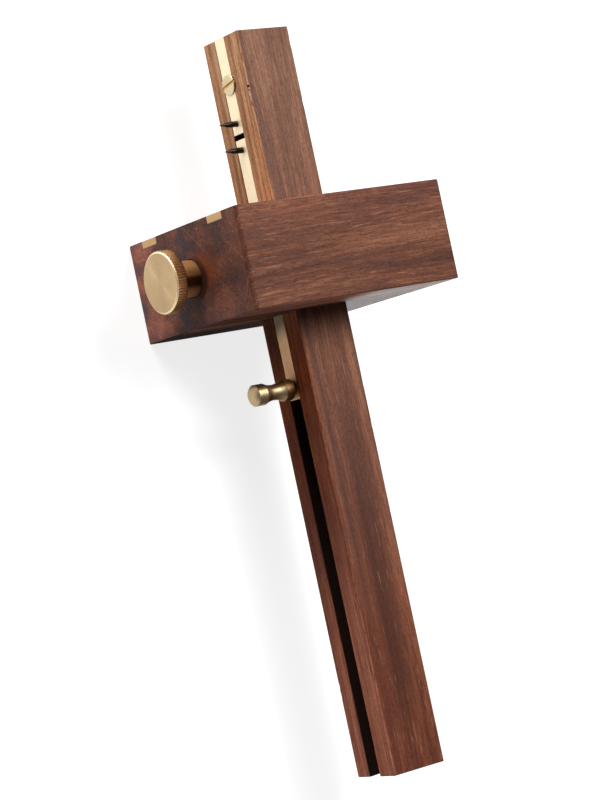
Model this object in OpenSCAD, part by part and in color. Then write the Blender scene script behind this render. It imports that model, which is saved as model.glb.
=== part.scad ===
// Combination marking gauge: a hardwood stem with twin mortise pins on one face and a single
// marking pin on the other, and a hardwood stock that slides on it and is held by a thumbscrew.
// X runs across the stock, with the thumbscrew at -X. Y runs along the stem, with the pins at +Y.
// Z is up from the flat back of the stock, whose centre is the origin.

/* [Stem] */
// Length of the stem
stem_l = 240; // [220:1:280]
// Side of the square stem
stem_w = 20; // [18:0.5:24]
// Bevel along the stem's edges
stem_bevel = 0.3; // [0.2:0.1:1]
// Length of stem that stands above the fence
stem_reach = 58.3; // [50:0.1:75]

/* [Stock] */
// Width of the stock, from the thumbscrew side to the far side
stock_w = 79; // [72:0.5:95]
// Depth of the stock, from its back to its front
stock_d = 64; // [56:0.5:76]
// Thickness of the stock along the stem
stock_t = 32.5; // [26:0.5:38]
// Bevel on the stock's edges
stock_bevel = 0.5; // [0.3:0.1:1.5]
// Clearance between the stock's mortise and the stem
mortise_play = 0.15; // [0.1:0.05:0.3]

/* [Wear strips] */
// Width of a wear strip
strip_w = 8.4; // [6:0.1:10]
// Thickness of a wear strip
strip_t = 2.4; // [1.5:0.1:4]
// Wood between a wear strip and the nearer long edge of the fence
strip_edge = 8.2; // [6:0.1:10]

/* [Dovetail slide] */
// Width of the slide at the stem's face
slide_face_w = 5.4; // [4.5:0.1:6.5]
// Width of the slide at its base
slide_base_w = 7; // [6.6:0.1:9]
// Thickness of the slide
slide_t = 4.8; // [4:0.1:6]
// Length of the slide bar
slide_l = 85; // [78:0.5:95]
// Distance of the slide's centre line behind the stem's
slide_offset = 0.5; // [0:0.1:1]
// Gap between the slide and the back wall of its groove
slide_side_gap = 0.35; // [0.05:0.05:0.5]
// Gap under the slide in its groove
slide_floor_gap = 0.15; // [0.05:0.05:0.3]
// Gap between the fixed plate and the slide bar
slide_gap = 1.7; // [1:0.1:3]
// Length of the fixed plate, from the stem's top end
plate_l = 31.5; // [28:0.5:36]

/* [Pins] */
// Diameter of a pin
pin_d = 2; // [1.6:0.1:2.6]
// Length of a mortise pin that stands out of the stem
pin_reach = 7; // [5.5:0.1:9]
// Length of a pin's point
pin_point = 5; // [3:0.1:6]
// Distance from the plate's inner end to its pin
plate_pin_edge = 3.5; // [2.5:0.1:5]
// Distance from the slide bar's upper end to its pin
slide_pin_edge = 3.4; // [2.5:0.1:5]
// Distance from the stem's top end to the marking pin
marking_pin_set = 28; // [20:0.5:34]
// Length of the marking pin that stands out of the stem
marking_pin_reach = 6.5; // [5:0.1:8]
// Length of the marking pin held in the wood
marking_pin_grip = 8; // [6:0.5:9]

/* [Plate screw] */
// Distance from the stem's top end to the screw
screw_set = 15.4; // [12:0.1:18]
// Diameter of the screw's head
screw_head_d = 6.7; // [6:0.1:8]
// Height of the screw's head above the plate
screw_head_t = 0.7; // [0.6:0.1:1.2]
// Diameter of the screw's shank
screw_shank_d = 3.4; // [2.8:0.1:3.8]
// Length of the screw under its head
screw_l = 14; // [10:0.5:15]
// Length of the screw's point
screw_point = 3; // [2:0.5:4]
// Width of the driver slot
screw_slot_w = 1; // [0.6:0.1:1.2]
// Depth of the driver slot
screw_slot_t = 0.45; // [0.3:0.05:0.5]
// Angle between the driver slot and a line across the stem
screw_slot_angle = 8; // [0:1:90]

/* [Slide knob] */
// Distance from the slide bar's lower end to the knob's axis
knob_edge = 3.65; // [3.5:0.05:5]
// Length of the knob's neck, between the slide bar and the collar's chamfer
knob_neck_l = 0.4; // [0.3:0.1:2]
// Diameter of the knob's neck
knob_neck_d = 4.6; // [4:0.1:5.2]
// Length of the chamfer behind the collar
knob_chamfer_l = 1; // [0.6:0.1:1.6]
// Length of the knob's collar
knob_collar_l = 3; // [1.5:0.1:4]
// Length of the hollow between the collar and the grip
knob_hollow_l = 7.4; // [5:0.1:9]
// Length of the knob's grip up to its dome
knob_grip_l = 3.6; // [2.5:0.1:6]
// Height of the dome on the knob's end
knob_dome = 0.9; // [0.4:0.1:1.5]
// Diameter of the knob's grip and collar
knob_d = 6.9; // [6:0.1:7.2]
// Diameter of the knob's waist
knob_waist_d = 5; // [4:0.1:5.6]
// Diameter of the stud that holds the knob
stud_d = 3; // [2.5:0.1:3.5]

/* [Thumbscrew] */
// Diameter of the knurled head
thumb_d = 20; // [18:0.5:26]
// Thickness of the knurled head
thumb_t = 4.3; // [4:0.1:7]
// Bevel on the head's front and back
thumb_bevel = 0.5; // [0.3:0.1:0.8]
// Number of knurls round the head
knurl_count = 64; // [48:1:72]
// Depth of a knurl
knurl_t = 0.4; // [0.2:0.05:0.6]
// Distance from the fence to the thumbscrew's axis
thumb_set = 16.7; // [15:0.1:18]
// Gap between the stock and the head when the screw is tight
thumb_standoff = 7.2; // [5:0.1:9]
// Diameter of the boss behind the head
boss_d = 11.6; // [11:0.1:14]
// Length of boss inside the stock when the screw is tight
boss_sink = 2.5; // [1.5:0.1:3]
// Clearance round the boss in its counterbore
boss_play = 0.7; // [0.4:0.1:0.9]
// Depth of the counterbore
counterbore_t = 4; // [3.5:0.1:5]
// Diameter of the screw's thread
thread_d = 8; // [7:0.1:8.4]
// Clearance between the thread and its insert
thread_play = 0.06; // [0.04:0.01:0.1]

/* [Insert and shoe] */
// Outer diameter of the threaded insert
insert_d = 11; // [10:0.1:11.4]
// Length of the threaded insert
insert_l = 15; // [10:0.5:15]
// Diameter of the pressure shoe
shoe_d = 9.6; // [8.6:0.1:9.8]
// Thickness of the pressure shoe
shoe_t = 2.4; // [2:0.1:3]
// Clearance round the shoe in its bore
shoe_play = 0.15; // [0.1:0.05:0.3]
// Diameter of the spigot that the shoe turns on
spigot_d = 4; // [3:0.1:5]
// Length of the spigot
spigot_l = 1.3; // [1:0.1:1.5]
// Clearance round the spigot in the shoe
spigot_play = 0.1; // [0.05:0.05:0.2]

/* [Fits] */
// Clearance round a piece that is pressed or driven into its hole
press_play = 0.02; // [0.01:0.01:0.04]
// Gap between faces that bear on each other and still move
bearing_gap = 0.05; // [0.03:0.01:0.1]

/* [Hidden] */
$fn = 64;

rosewood = "#6b4033";
brass = "#c9ab6e";
steel = "#2f2a2c";

// Overrun of a cut past the face that it opens
cut = 1;

stem_z = stock_d / 2;
slide_z = stem_z - slide_offset;
stem_top = stock_t / 2 + stem_reach;
stem_bottom = stem_top - stem_l;
face_x = -stem_w / 2;
far_face_x = stem_w / 2;

plate_end = stem_top - plate_l;
slide_top = plate_end - slide_gap;
slide_bottom = slide_top - slide_l;
groove_t = slide_t + slide_floor_gap;

fixed_pin_y = plate_end + plate_pin_edge;
moving_pin_y = slide_top - slide_pin_edge;
marking_pin_y = stem_top - marking_pin_set;
screw_y = stem_top - screw_set;
knob_y = slide_bottom + knob_edge;

strip_z = stock_d / 2 - strip_edge - strip_w / 2;

thumb_y = stock_t / 2 - thumb_set;
stock_face_x = -stock_w / 2;
boss_end_x = stock_face_x + boss_sink;
head_back_x = stock_face_x - thumb_standoff;
counterbore_x = stock_face_x + counterbore_t;
insert_end_x = counterbore_x + insert_l;
shoe_front_x = face_x - bearing_gap;
shoe_back_x = shoe_front_x - shoe_t;
thread_end_x = shoe_back_x - bearing_gap;

// Extrudes a shape drawn in X and Z between two places along Y
module along_y(from, to) {
    translate([0, to, 0]) rotate([90, 0, 0]) linear_extrude(to - from) children();
}

// Extrudes a shape drawn in Y and Z between two places along X
module along_x(from, to) {
    translate([from, 0, 0]) rotate([90, 0, 90]) linear_extrude(to - from) children();
}

// Stands a shape that is drawn upright on a face at x, pointing to -X
module outward(x, y, z) {
    translate([x, y, z]) rotate([0, -90, 0]) children();
}

// A rod along X between two places
module rod_x(from, to, d, y, z = stem_z) {
    translate([from, y, z]) rotate([0, 90, 0]) cylinder(h = to - from, d = d);
}

// A rectangle about its centre with its corners cut off
module bevelled_rect(w, h, bevel) {
    polygon([
        [-w / 2 + bevel, -h / 2], [w / 2 - bevel, -h / 2], [w / 2, -h / 2 + bevel], [w / 2, h / 2 - bevel],
        [w / 2 - bevel, h / 2], [-w / 2 + bevel, h / 2], [-w / 2, h / 2 - bevel], [-w / 2, -h / 2 + bevel]
    ]);
}

// A block about its centre with a bevel on all twelve edges
module bevelled_block(x, y, z, bevel) {
    intersection() {
        along_y(-y / 2, y / 2) bevelled_rect(x, z, bevel);
        along_x(-x / 2, x / 2) bevelled_rect(y, z, bevel);
        translate([0, 0, -z / 2]) linear_extrude(z) bevelled_rect(x, y, bevel);
    }
}

// Section of a dovetail bar of thickness t that lies flush in the grooved face, wider by back_gap
// on its back side and by front_gap on its front side
module dovetail(t, back_gap = 0, front_gap = 0) {
    face_r = slide_face_w / 2;
    base_r = face_r + (slide_base_w - slide_face_w) / 2 * t / slide_t;
    polygon([
        [face_x, -face_r - back_gap], [face_x + t, -base_r - back_gap],
        [face_x + t, base_r + front_gap], [face_x, face_r + front_gap]
    ]);
}

// The groove that holds the dovetail bars, open past the face and past both ends of the stem
module groove() {
    translate([0, 0, slide_z]) along_y(stem_bottom - cut, stem_top + cut) {
        dovetail(groove_t, slide_side_gap, bearing_gap);
        translate([face_x - cut, -slide_face_w / 2 - slide_side_gap])
            square([2 * cut, slide_face_w + slide_side_gap + bearing_gap]);
    }
}

// The hardwood bar, with its groove and the holes for the plate's screw and the marking pin
module stem() {
    color(rosewood) difference() {
        translate([0, (stem_top + stem_bottom) / 2, stem_z])
            bevelled_block(stem_w, stem_l, stem_w, stem_bevel);
        groove();
        rod_x(face_x, face_x + screw_l + press_play, screw_shank_d + 2 * press_play, screw_y);
        rod_x(far_face_x - marking_pin_grip - press_play, far_face_x + cut,
              pin_d + 2 * press_play, marking_pin_y);
    }
}

// The hardwood block, with its mortise, the seats of the wear strips and the bores for the thumbscrew
module stock() {
    mortise_w = stem_w + 2 * mortise_play;
    color(rosewood) difference() {
        translate([0, 0, stock_d / 2]) bevelled_block(stock_w, stock_t, stock_d, stock_bevel);
        translate([-mortise_w / 2, -stock_t / 2 - cut, stem_z - mortise_w / 2])
            cube([mortise_w, stock_t + 2 * cut, mortise_w]);
        for (side = [-1, 1])
            translate([-stock_w / 2 - cut, stock_t / 2 - strip_t, stem_z + side * strip_z - strip_w / 2])
                cube([stock_w + 2 * cut, strip_t + cut, strip_w]);
        rod_x(stock_face_x - cut, counterbore_x, boss_d + 2 * boss_play, thumb_y);
        rod_x(stock_face_x, insert_end_x, insert_d + 2 * press_play, thumb_y);
        rod_x(stock_face_x, face_x, shoe_d + 2 * shoe_play, thumb_y);
    }
}

// A brass strip let into the fence, side 1 at the front and -1 at the back
module wear_strip(side) {
    color(brass) intersection() {
        translate([-stock_w / 2, stock_t / 2 - strip_t, stem_z + side * strip_z - strip_w / 2])
            cube([stock_w, strip_t, strip_w]);
        translate([0, 0, stock_d / 2]) bevelled_block(stock_w, stock_t, stock_d, stock_bevel);
    }
}

// The brass dovetail plate at the top of the groove, which holds the fixed pin
module fixed_plate() {
    color(brass) difference() {
        translate([0, 0, slide_z]) along_y(plate_end, stem_top) dovetail(groove_t);
        rod_x(face_x - cut, face_x + groove_t + cut, screw_shank_d + 2 * press_play, screw_y);
        rod_x(face_x - cut, face_x + groove_t + cut, pin_d + 2 * press_play, fixed_pin_y, slide_z);
    }
}

// The slotted screw that holds the plate
module plate_screw() {
    color(brass) outward(face_x, screw_y, stem_z) difference() {
        rotate_extrude() polygon([
            [0, -screw_l], [screw_shank_d / 2, -screw_l + screw_point], [screw_shank_d / 2, 0],
            [screw_head_d / 2, 0], [screw_head_d / 2, screw_head_t], [0, screw_head_t]
        ]);
        rotate([0, 0, screw_slot_angle])
            translate([-screw_head_d, -screw_slot_w / 2, screw_head_t - screw_slot_t])
                cube([2 * screw_head_d, screw_slot_w, screw_slot_t + cut]);
    }
}

// A steel pin that stands out by reach, is held for grip and ends in a full, slightly rounded point
module pin(reach, grip) {
    steps = 8;
    r = pin_d / 2;
    shoulder = reach - pin_point;
    color(steel) rotate_extrude() polygon(concat(
        [[0, -grip], [r, -grip]],
        [for (i = [0:steps - 1]) let (u = i / steps) [r * (1 - pow(u, 1.5)), shoulder + pin_point * u]],
        [[0, reach]]
    ));
}

// The brass bar that slides in the groove
module slide_bar() {
    color(brass) difference() {
        translate([0, 0, slide_z]) along_y(slide_bottom, slide_top) dovetail(slide_t);
        rod_x(face_x - cut, face_x + slide_t + cut, pin_d + 2 * press_play, moving_pin_y, slide_z);
        rod_x(face_x - cut, face_x + slide_t + cut, stud_d + 2 * press_play, knob_y, slide_z);
    }
}

// The turned pull on the slide bar, with the stud that holds it
module slide_knob() {
    steps = 8;
    r = knob_d / 2;
    chamfer_z = knob_neck_l + knob_chamfer_l;
    collar_z = chamfer_z + knob_collar_l;
    waist_z = collar_z + knob_hollow_l / 2;
    dome_z = collar_z + knob_hollow_l + knob_grip_l;
    color(brass) outward(face_x, knob_y, slide_z) rotate_extrude() polygon(concat(
        [
            [0, -slide_t], [stud_d / 2, -slide_t], [stud_d / 2, 0], [knob_neck_d / 2, 0],
            [knob_neck_d / 2, knob_neck_l], [r, chamfer_z]
        ],
        [for (i = [-steps:steps]) let (u = i / steps)
            [knob_waist_d / 2 + (r - knob_waist_d / 2) * u * u, waist_z + knob_hollow_l / 2 * u]],
        [for (i = [0:steps]) let (a = 90 * i / steps) [r * cos(a), dome_z + knob_dome * sin(a)]]
    ));
}

// The outline of the knurled head
module knurled_outline() {
    polygon([for (i = [0:2 * knurl_count - 1])
        let (a = 180 * i / knurl_count, r = thumb_d / 2 - (i % 2) * knurl_t) [r * cos(a), r * sin(a)]]);
}

// The brass screw: knurled head, boss, thread and the spigot that carries the shoe
module thumbscrew() {
    r = thumb_d / 2;
    color(brass) {
        outward(head_back_x, thumb_y, stem_z) intersection() {
            linear_extrude(thumb_t) knurled_outline();
            rotate_extrude() polygon([
                [0, 0], [r - thumb_bevel, 0], [r + thumb_bevel, 2 * thumb_bevel],
                [r + thumb_bevel, thumb_t - 2 * thumb_bevel], [r - thumb_bevel, thumb_t], [0, thumb_t]
            ]);
        }
        rod_x(head_back_x, boss_end_x, boss_d, thumb_y);
        rod_x(boss_end_x, thread_end_x, thread_d, thumb_y);
        rod_x(thread_end_x, thread_end_x + spigot_l, spigot_d, thumb_y);
    }
}

// The brass bush in the stock that the thumbscrew turns in
module threaded_insert() {
    color(brass) difference() {
        rod_x(counterbore_x, insert_end_x, insert_d, thumb_y);
        rod_x(counterbore_x - cut, insert_end_x + cut, thread_d + 2 * thread_play, thumb_y);
    }
}

// The brass shoe between the thumbscrew and the slide bar
module pressure_shoe() {
    color(brass) difference() {
        rod_x(shoe_back_x, shoe_front_x, shoe_d, thumb_y);
        rod_x(shoe_back_x - cut, thread_end_x + spigot_l + bearing_gap, spigot_d + 2 * spigot_play, thumb_y);
    }
}

module wear_strip_front() {
    wear_strip(1);
}

module wear_strip_back() {
    wear_strip(-1);
}

// The mortise pin that the fixed plate holds
module fixed_pin() {
    outward(face_x, fixed_pin_y, slide_z) pin(pin_reach, slide_t);
}

// The mortise pin that moves with the slide bar
module moving_pin() {
    outward(face_x, moving_pin_y, slide_z) pin(pin_reach, slide_t);
}

// The single pin on the opposite side of the stem
module marking_pin() {
    translate([far_face_x, marking_pin_y, stem_z]) rotate([0, 90, 0]) pin(marking_pin_reach, marking_pin_grip);
}

stem();
stock();
wear_strip_front();
wear_strip_back();
fixed_plate();
plate_screw();
fixed_pin();
marking_pin();
slide_bar();
moving_pin();
slide_knob();
thumbscrew();
threaded_insert();
pressure_shoe();
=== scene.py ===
import math
import random

import bpy
from bpy.props import FloatProperty, FloatVectorProperty, IntProperty, PointerProperty
from bpy.types import Operator, Panel, PropertyGroup
from mathutils import Matrix, Vector


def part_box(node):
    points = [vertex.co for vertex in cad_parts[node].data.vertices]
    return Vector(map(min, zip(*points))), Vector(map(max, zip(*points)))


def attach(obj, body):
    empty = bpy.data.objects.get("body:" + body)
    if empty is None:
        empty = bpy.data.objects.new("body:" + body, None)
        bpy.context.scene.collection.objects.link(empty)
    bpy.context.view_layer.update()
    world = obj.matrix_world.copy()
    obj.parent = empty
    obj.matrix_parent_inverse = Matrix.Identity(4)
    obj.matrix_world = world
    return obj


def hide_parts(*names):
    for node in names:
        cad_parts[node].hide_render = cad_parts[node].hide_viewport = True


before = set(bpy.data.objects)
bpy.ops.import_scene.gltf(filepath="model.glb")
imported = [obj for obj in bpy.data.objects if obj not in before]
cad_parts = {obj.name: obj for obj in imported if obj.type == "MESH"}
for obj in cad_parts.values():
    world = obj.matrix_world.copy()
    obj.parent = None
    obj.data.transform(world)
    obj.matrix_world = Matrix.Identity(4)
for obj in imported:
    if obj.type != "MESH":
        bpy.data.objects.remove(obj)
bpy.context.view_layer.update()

bl_info = {
    "name": "Combination Marking Gauge",
    "version": (1, 0, 0),
    "blender": (4, 5, 0),
    "location": "View3D > Sidebar > Gauge",
    "description": "Rosewood and brass pieces of a combination marking gauge, and a plain studio",
    "category": "Object",
}

OVER = 0.001  # how far a cutting tool or a hidden end reaches past a piece, in metres
NEAR = 0.00001  # how close to a face an edge has to lie to belong to it, in metres


def number(name, description, default, **kind):
    """A number that a user may change, with its range and unit where it has them."""
    return FloatProperty(name=name, description=description, default=default, **kind)


def share(name, description, default):
    """A share, from none to all."""
    return number(name, description, default, min=0.0, max=1.0)


def length(name, description, default):
    """A size in metres."""
    return number(name, description, default, min=0.0, precision=5, subtype="DISTANCE", unit="LENGTH")


def colour(name, description, default):
    """A colour of a finish, as red, green and blue."""
    return FloatVectorProperty(
        name=name, description=description, default=default, min=0.0, max=1.0, size=3, subtype="COLOR"
    )


def place(name, description, default):
    """A place or a direction in the gauge's own frame."""
    return FloatVectorProperty(name=name, description=description, default=default, size=3, subtype="XYZ")


class WoodSettings(PropertyGroup):
    """Sizes and colours of the two rosewood pieces."""

    stem_arris: length("Stem Arris", "Width of the rounding on the stem's edges", 0.00035)
    stock_arris: length("Stock Arris", "Width of the rounding on the stock's edges", 0.00045)
    soft_corner: length("Soft Corner", "Radius of the stock's handled corner by the thumbscrew", 0.0015)
    mouth: length("Mouth", "Bevel round the counterbore", 0.00015)
    mortise_play: length("Mortise Play", "Clearance between the stem and the mortise", 0.00015)
    counterbore_d: length("Counterbore Diameter", "Diameter of the recess round the boss", 0.0122)
    counterbore_t: length("Counterbore Depth", "Depth of the recess round the boss", 0.004)
    groove_back_gap: length("Groove Back Gap", "Gap behind the slide bar in its groove", 0.00042)
    groove_front_gap: length("Groove Front Gap", "Gap in front of the slide bar in its groove", 0.00005)
    groove_floor_gap: length("Groove Floor Gap", "Gap under the slide bar in its groove", 0.00015)
    nick: length("Nick", "Size of the chips along the stem's edges", 0.0005)
    nick_place: number("Nick Place", "Place of the deepest nick along the stem", 0.0563, unit="LENGTH")
    stem_dark: colour("Stem Dark", "Dark streaks of the stem", (0.124, 0.057, 0.041))
    stem_mid: colour("Stem Middle", "Ground colour of the stem", (0.230, 0.104, 0.063))
    stem_light: colour("Stem Light", "Light streaks of the stem", (0.365, 0.190, 0.114))
    stock_dark: colour("Stock Dark", "Dark streaks of the stock", (0.086, 0.033, 0.024))
    stock_mid: colour("Stock Middle", "Ground colour of the stock", (0.182, 0.068, 0.036))
    stock_light: colour("Stock Light", "Light streaks of the stock", (0.350, 0.156, 0.084))
    side_dark: colour("Side Dark", "Dark streaks of the grooved side", (0.220, 0.083, 0.043))
    side_mid: colour("Side Middle", "Ground colour of the grooved side", (0.484, 0.209, 0.098))
    side_light: colour("Side Light", "Light streaks of the grooved side", (0.760, 0.400, 0.205))
    foot_redness: share("Foot Redness", "Share of the redder tone towards the stem's foot", 1.0)
    sheen: share("Sheen", "Strength of the oiled surface's reflections", 0.10)


class BrassSettings(PropertyGroup):
    """Sizes and colours of the brass pieces."""

    edge: length("Edge", "Width of the broken edge on flat brass", 0.00012)
    slide_face_w: length("Slide Face Width", "Width of the slide bar in the stem's face", 0.0054)
    relief: length("Relief", "Gap round the plate screw's head in the wood", 0.00018)
    relief_t: length("Relief Depth", "Depth of the gap round the plate screw's head", 0.0006)
    slot_w: length("Slot Width", "Width of the plate screw's slot", 0.0009)
    slot_t: length("Slot Depth", "Depth of the plate screw's slot", 0.00062)
    slot_angle: number("Slot Angle", "Turn of the plate screw's slot", math.radians(-10), subtype="ANGLE")
    head_bevel: length("Head Bevel", "Bevel on the knurled head", 0.00045)
    head_t: length("Head Thickness", "Thickness of the knurled head", 0.0040)
    boss_d: length("Boss Diameter", "Diameter of the boss behind the head", 0.0116)
    boss_l: length("Boss Length", "Length of the boss behind the head", 0.0090)
    knurl_count: IntProperty(
        name="Knurls", description="Number of knurls round the head", default=72, min=24, max=120
    )
    knurl_t: length("Knurl Depth", "Depth of a knurl", 0.00032)
    thread_d: length("Thread Diameter", "Outer diameter of the thread", 0.008)
    thread_pitch: length("Thread Pitch", "Advance of the thread in one turn", 0.00125)
    thread_t: length("Thread Depth", "Depth of the thread", 0.0007)
    spigot_d: length("Spigot Diameter", "Diameter of the spigot in the shoe", 0.004)
    spigot_l: length("Spigot Length", "Length of the spigot in the shoe", 0.0013)
    slide: colour("Slide Brass", "Colour of the drawn slide bar and plate", (0.85, 0.74, 0.54))
    strip: colour("Strip Brass", "Colour of the sanded wear strips", (0.45, 0.28, 0.135))
    screw: colour("Screw Brass", "Colour of the plate screw", (0.62, 0.52, 0.32))
    boss: colour("Boss Brass", "Colour of the boss behind the knurled head", (0.50, 0.255, 0.105))
    knob: colour("Knob Brass", "Colour of the pull knob", (0.50, 0.380, 0.225))
    turned: colour("Turned Brass", "Colour of the knurled head, the bush and the shoe", (0.45, 0.315, 0.170))


class SteelSettings(PropertyGroup):
    """Size and colour of the steel pins."""

    pin_point: length("Point Length", "Length of a pin's point", 0.005)
    blue: colour("Blued Steel", "Colour of the pins", (0.030, 0.026, 0.024))


class StageSettings(PropertyGroup):
    """Camera, lamps and floor."""

    camera_place: place("Camera Place", "Where the camera stands", (-0.45576, -0.07002, 0.67329))
    camera_view: place("Camera View", "Direction in which the camera looks", (0.57638, 0.03944, -0.81623))
    camera_up: place("Camera Up", "Direction that is upwards in the picture", (0.14776, 0.97734, 0.15157))
    lens: number("Lens", "Focal length", 110.66, unit="CAMERA")
    shift_x: number("Shift X", "Sideways shift of the picture", -0.0139)
    shift_y: number("Shift Y", "Upwards shift of the picture", -0.0221)
    floor: colour("Floor", "Colour of the floor", (0.42, 0.42, 0.42))
    floor_glow: number("Floor Glow", "Light added where the floor is seen", 0.80)
    sky: number("Sky", "Strength of the even light", 0.08)
    lamp_distance: length("Lamp Distance", "How far the lamps stand from the gauge", 1.5)
    lamp_size: length("Lamp Size", "Side of each square lamp", 0.75)
    key: number("Key", "Power of the main lamp", 29.0, unit="POWER")
    key_way: place("Key Direction", "Direction towards the main lamp", (-0.41, 0.88, 0.21))
    front: number("Front", "Power of the lamp over the front face", 25.0, unit="POWER")
    front_way: place("Front Direction", "Direction towards the front lamp", (0.354, 0.354, 0.866))


class Finish:
    """A material being mixed. Each call adds its nodes and gives their output."""

    def __init__(self, name, world=None):
        self.material = world or bpy.data.materials.new(name)
        self.material.use_nodes = True
        self.tree = self.material.node_tree
        self.tree.nodes.clear()

    def add(self, kind, inputs=(), **settings):
        """Adds a node, with its settings, and fills its inputs by name or number."""
        node = self.tree.nodes.new("ShaderNode" + kind)
        for key, value in settings.items():
            setattr(node, key, value)
        for key, value in dict(inputs).items():
            if isinstance(value, bpy.types.NodeSocket):
                self.tree.links.new(value, node.inputs[key])
            else:
                node.inputs[key].default_value = value
        return node

    def coords(self):
        """The place on the piece, in metres."""
        return self.add("TexCoord").outputs["Object"]

    def split(self, vector):
        """The three parts of a vector."""
        return tuple(self.add("SeparateXYZ", {"Vector": vector}).outputs)

    def join(self, x, y, z):
        """A vector from three parts."""
        return self.add("CombineXYZ", {"X": x, "Y": y, "Z": z}).outputs["Vector"]

    def stretch(self, vector, scale, move=(0.0, 0.0, 0.0)):
        """A vector scaled and moved, so that a pattern on it runs along the grain."""
        return self.add("Mapping", {"Vector": vector, "Scale": scale, "Location": move}).outputs["Vector"]

    def noise(self, vector, detail=2.0, roughness=0.5, output="Fac"):
        """Cloudy noise, about one cloud to a unit of the vector."""
        inputs = {"Vector": vector, "Scale": 1.0, "Detail": detail, "Roughness": roughness}
        return self.add("TexNoise", inputs).outputs[output]

    def math(self, operation, a, b=0.0):
        """A sum on two numbers."""
        return self.add("Math", {0: a, 1: b}, operation=operation).outputs["Value"]

    def chain(self, operation, first, *others):
        """A sum on two or more numbers, from left to right."""
        for other in others:
            first = self.math(operation, first, other)
        return first

    def times(self, *parts):
        """Numbers multiplied."""
        return self.chain("MULTIPLY", *parts)

    def plus(self, *parts):
        """Numbers added."""
        return self.chain("ADD", *parts)

    def minus(self, a, b):
        """One number less another."""
        return self.math("SUBTRACT", a, b)

    def most(self, *parts):
        """The largest of some numbers."""
        return self.chain("MAXIMUM", *parts)

    def gap(self, value, centre):
        """How far a number lies from a centre, on either side."""
        return self.math("ABSOLUTE", self.minus(value, centre))

    def vector(self, operation, a, b=(0.0, 0.0, 0.0), output="Vector"):
        """A sum on two vectors."""
        return self.add("VectorMath", {0: a, 1: b}, operation=operation).outputs[output]

    def reach(self, vector):
        """The length of a vector."""
        return self.vector("LENGTH", vector, output="Value")

    def around(self, position, y, z):
        """Seen from a line along X through y and z: the places along it and across it, and the distance."""
        along, across, up = self.split(self.vector("SUBTRACT", position, (0.0, y, z)))
        return along, across, self.reach(self.join(0.0, across, up))

    def facing(self):
        """How squarely the surface looks along X, Y and Z."""
        return self.split(self.vector("ABSOLUTE", self.add("NewGeometry").outputs["Normal"]))

    def fade(self, value, low, high, start=0.0, end=1.0):
        """A number that goes smoothly from start to end as value goes from low to high."""
        inputs = {"Value": value, "From Min": low, "From Max": high, "To Min": start, "To Max": end}
        return self.add("MapRange", inputs, interpolation_type="SMOOTHSTEP").outputs["Result"]

    def fall(self, value, low, high, start=1.0):
        """A number that goes smoothly from start to nothing as value goes from low to high."""
        return self.fade(value, low, high, start, 0.0)

    def ramp(self, value, stops):
        """A colour read from (position, colour) stops."""
        node = self.add("ValToRGB", {"Fac": value})
        elements = node.color_ramp.elements
        while len(elements) < len(stops):
            elements.new(0.5)
        for element, (position, tint) in zip(elements, stops):
            element.position = position
            element.color = (*tint, 1.0)
        return node.outputs["Color"]

    def mix(self, amount, a, b, blend="MIX"):
        """Two colours mixed."""
        a, b = ((*c, 1.0) if isinstance(c, tuple) and len(c) == 3 else c for c in (a, b))
        node = self.add("Mix", {0: amount, 6: a, 7: b}, data_type="RGBA", blend_type=blend)
        return node.outputs[2]

    def bump(self, height, depth, strength=1.0):
        """A normal that carries a relief of the given depth in metres."""
        inputs = {"Height": height, "Distance": depth, "Strength": strength}
        return self.add("Bump", inputs).outputs["Normal"]

    def surface(self, inputs):
        """Ends the material with a principled surface, and gives the material."""
        shader = self.add("BsdfPrincipled", inputs)
        self.add("OutputMaterial", {"Surface": shader.outputs["BSDF"]})
        return self.material


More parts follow.
